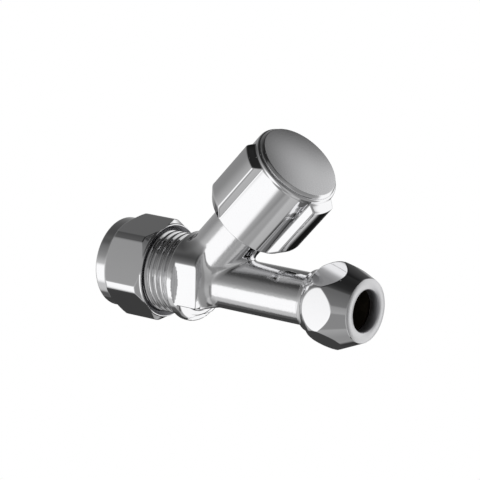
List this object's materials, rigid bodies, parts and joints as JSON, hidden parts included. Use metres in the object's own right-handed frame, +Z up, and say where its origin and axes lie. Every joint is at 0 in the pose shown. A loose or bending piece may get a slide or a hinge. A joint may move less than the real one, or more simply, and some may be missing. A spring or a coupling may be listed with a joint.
{
  "type": "isolating valve",
  "caption": "Chromed straight isolating valve with compression nuts at both ends and a lobed handle on an inclined branch.",
  "frame": {"origin": "centre of the inlet pipe socket where its straight wall starts, on the pipe axis", "axes": "+X along the pipes from the inlet to the outlet, +Z up, with the branch leaning in the XZ plane towards +X and +Z"},
  "size_m": [0.0763, 0.0262, 0.0537],
  "materials": {
    "chrome": "polished chrome plate on brass",
    "satin_chrome": "satin chrome plate",
    "brass": "turned",
    "steel": "stainless",
    "rubber": "matte",
    "fibre": "pressed fibre",
    "slide_plastic": "moulded"
  },
  "bodies": {
    "housing": {"valve_body": "chrome", "bonnet": "brass", "bonnet_seal": "fibre"},
    "stem": {"spindle": "brass", "stem_ring_lower": "rubber", "stem_ring_upper": "rubber", "thrust_washer": "slide_plastic", "spindle_clip": "steel", "handle": "chrome", "handle_insert": "slide_plastic", "handle_screw": "steel", "screw_washer": "steel", "handle_cap": "satin_chrome"},
    "lifter": {"plunger": "brass", "plunger_ring": "rubber", "seat_washer": "rubber", "washer_retainer": "steel", "washer_screw": "steel"},
    "inlet_ring": {"inlet_olive": "brass"},
    "inlet_cap_nut": {"inlet_nut": "chrome"},
    "outlet_ring": {"outlet_olive": "brass"},
    "outlet_cap_nut": {"outlet_nut": "chrome"}
  },
  "joints": [
    {"name": "handle_turn", "type": "hinge", "parent": "housing", "child": "stem", "pos_m": [0.0147, 0, 0], "axis": [-0.6756, 0, -0.7373], "range_deg": [0, 1080]},
    {"name": "plunger_slide", "type": "slide", "parent": "housing", "child": "lifter", "axis": [-0.6756, 0, -0.7373], "range_m": [0, 0.003]},
    {"name": "inlet_nut_slide", "type": "slide", "parent": "housing", "child": "inlet_ring", "axis": [1, 0, 0], "range_m": [-0.00544, 0.00045]},
    {"name": "inlet_nut_turn", "type": "hinge", "parent": "inlet_ring", "child": "inlet_cap_nut", "pos_m": [0, 0, 0], "axis": [1, 0, 0], "range_deg": [-1080, 90]},
    {"name": "outlet_nut_slide", "type": "slide", "parent": "housing", "child": "outlet_ring", "axis": [-1, 0, 0], "range_m": [-0.00401, 0.00033]},
    {"name": "outlet_nut_turn", "type": "hinge", "parent": "outlet_ring", "child": "outlet_cap_nut", "pos_m": [0.0587, 0, 0], "axis": [-1, 0, 0], "range_deg": [-1080, 90]}
  ],
  "couplings": [
    {"joint": "handle_turn", "follows": "plunger_slide", "rad_per_m": 6283.2},
    {"joint": "inlet_nut_turn", "follows": "inlet_nut_slide", "rad_per_m": 3463.7},
    {"joint": "outlet_nut_turn", "follows": "outlet_nut_slide", "rad_per_m": 4699.5}
  ]
}
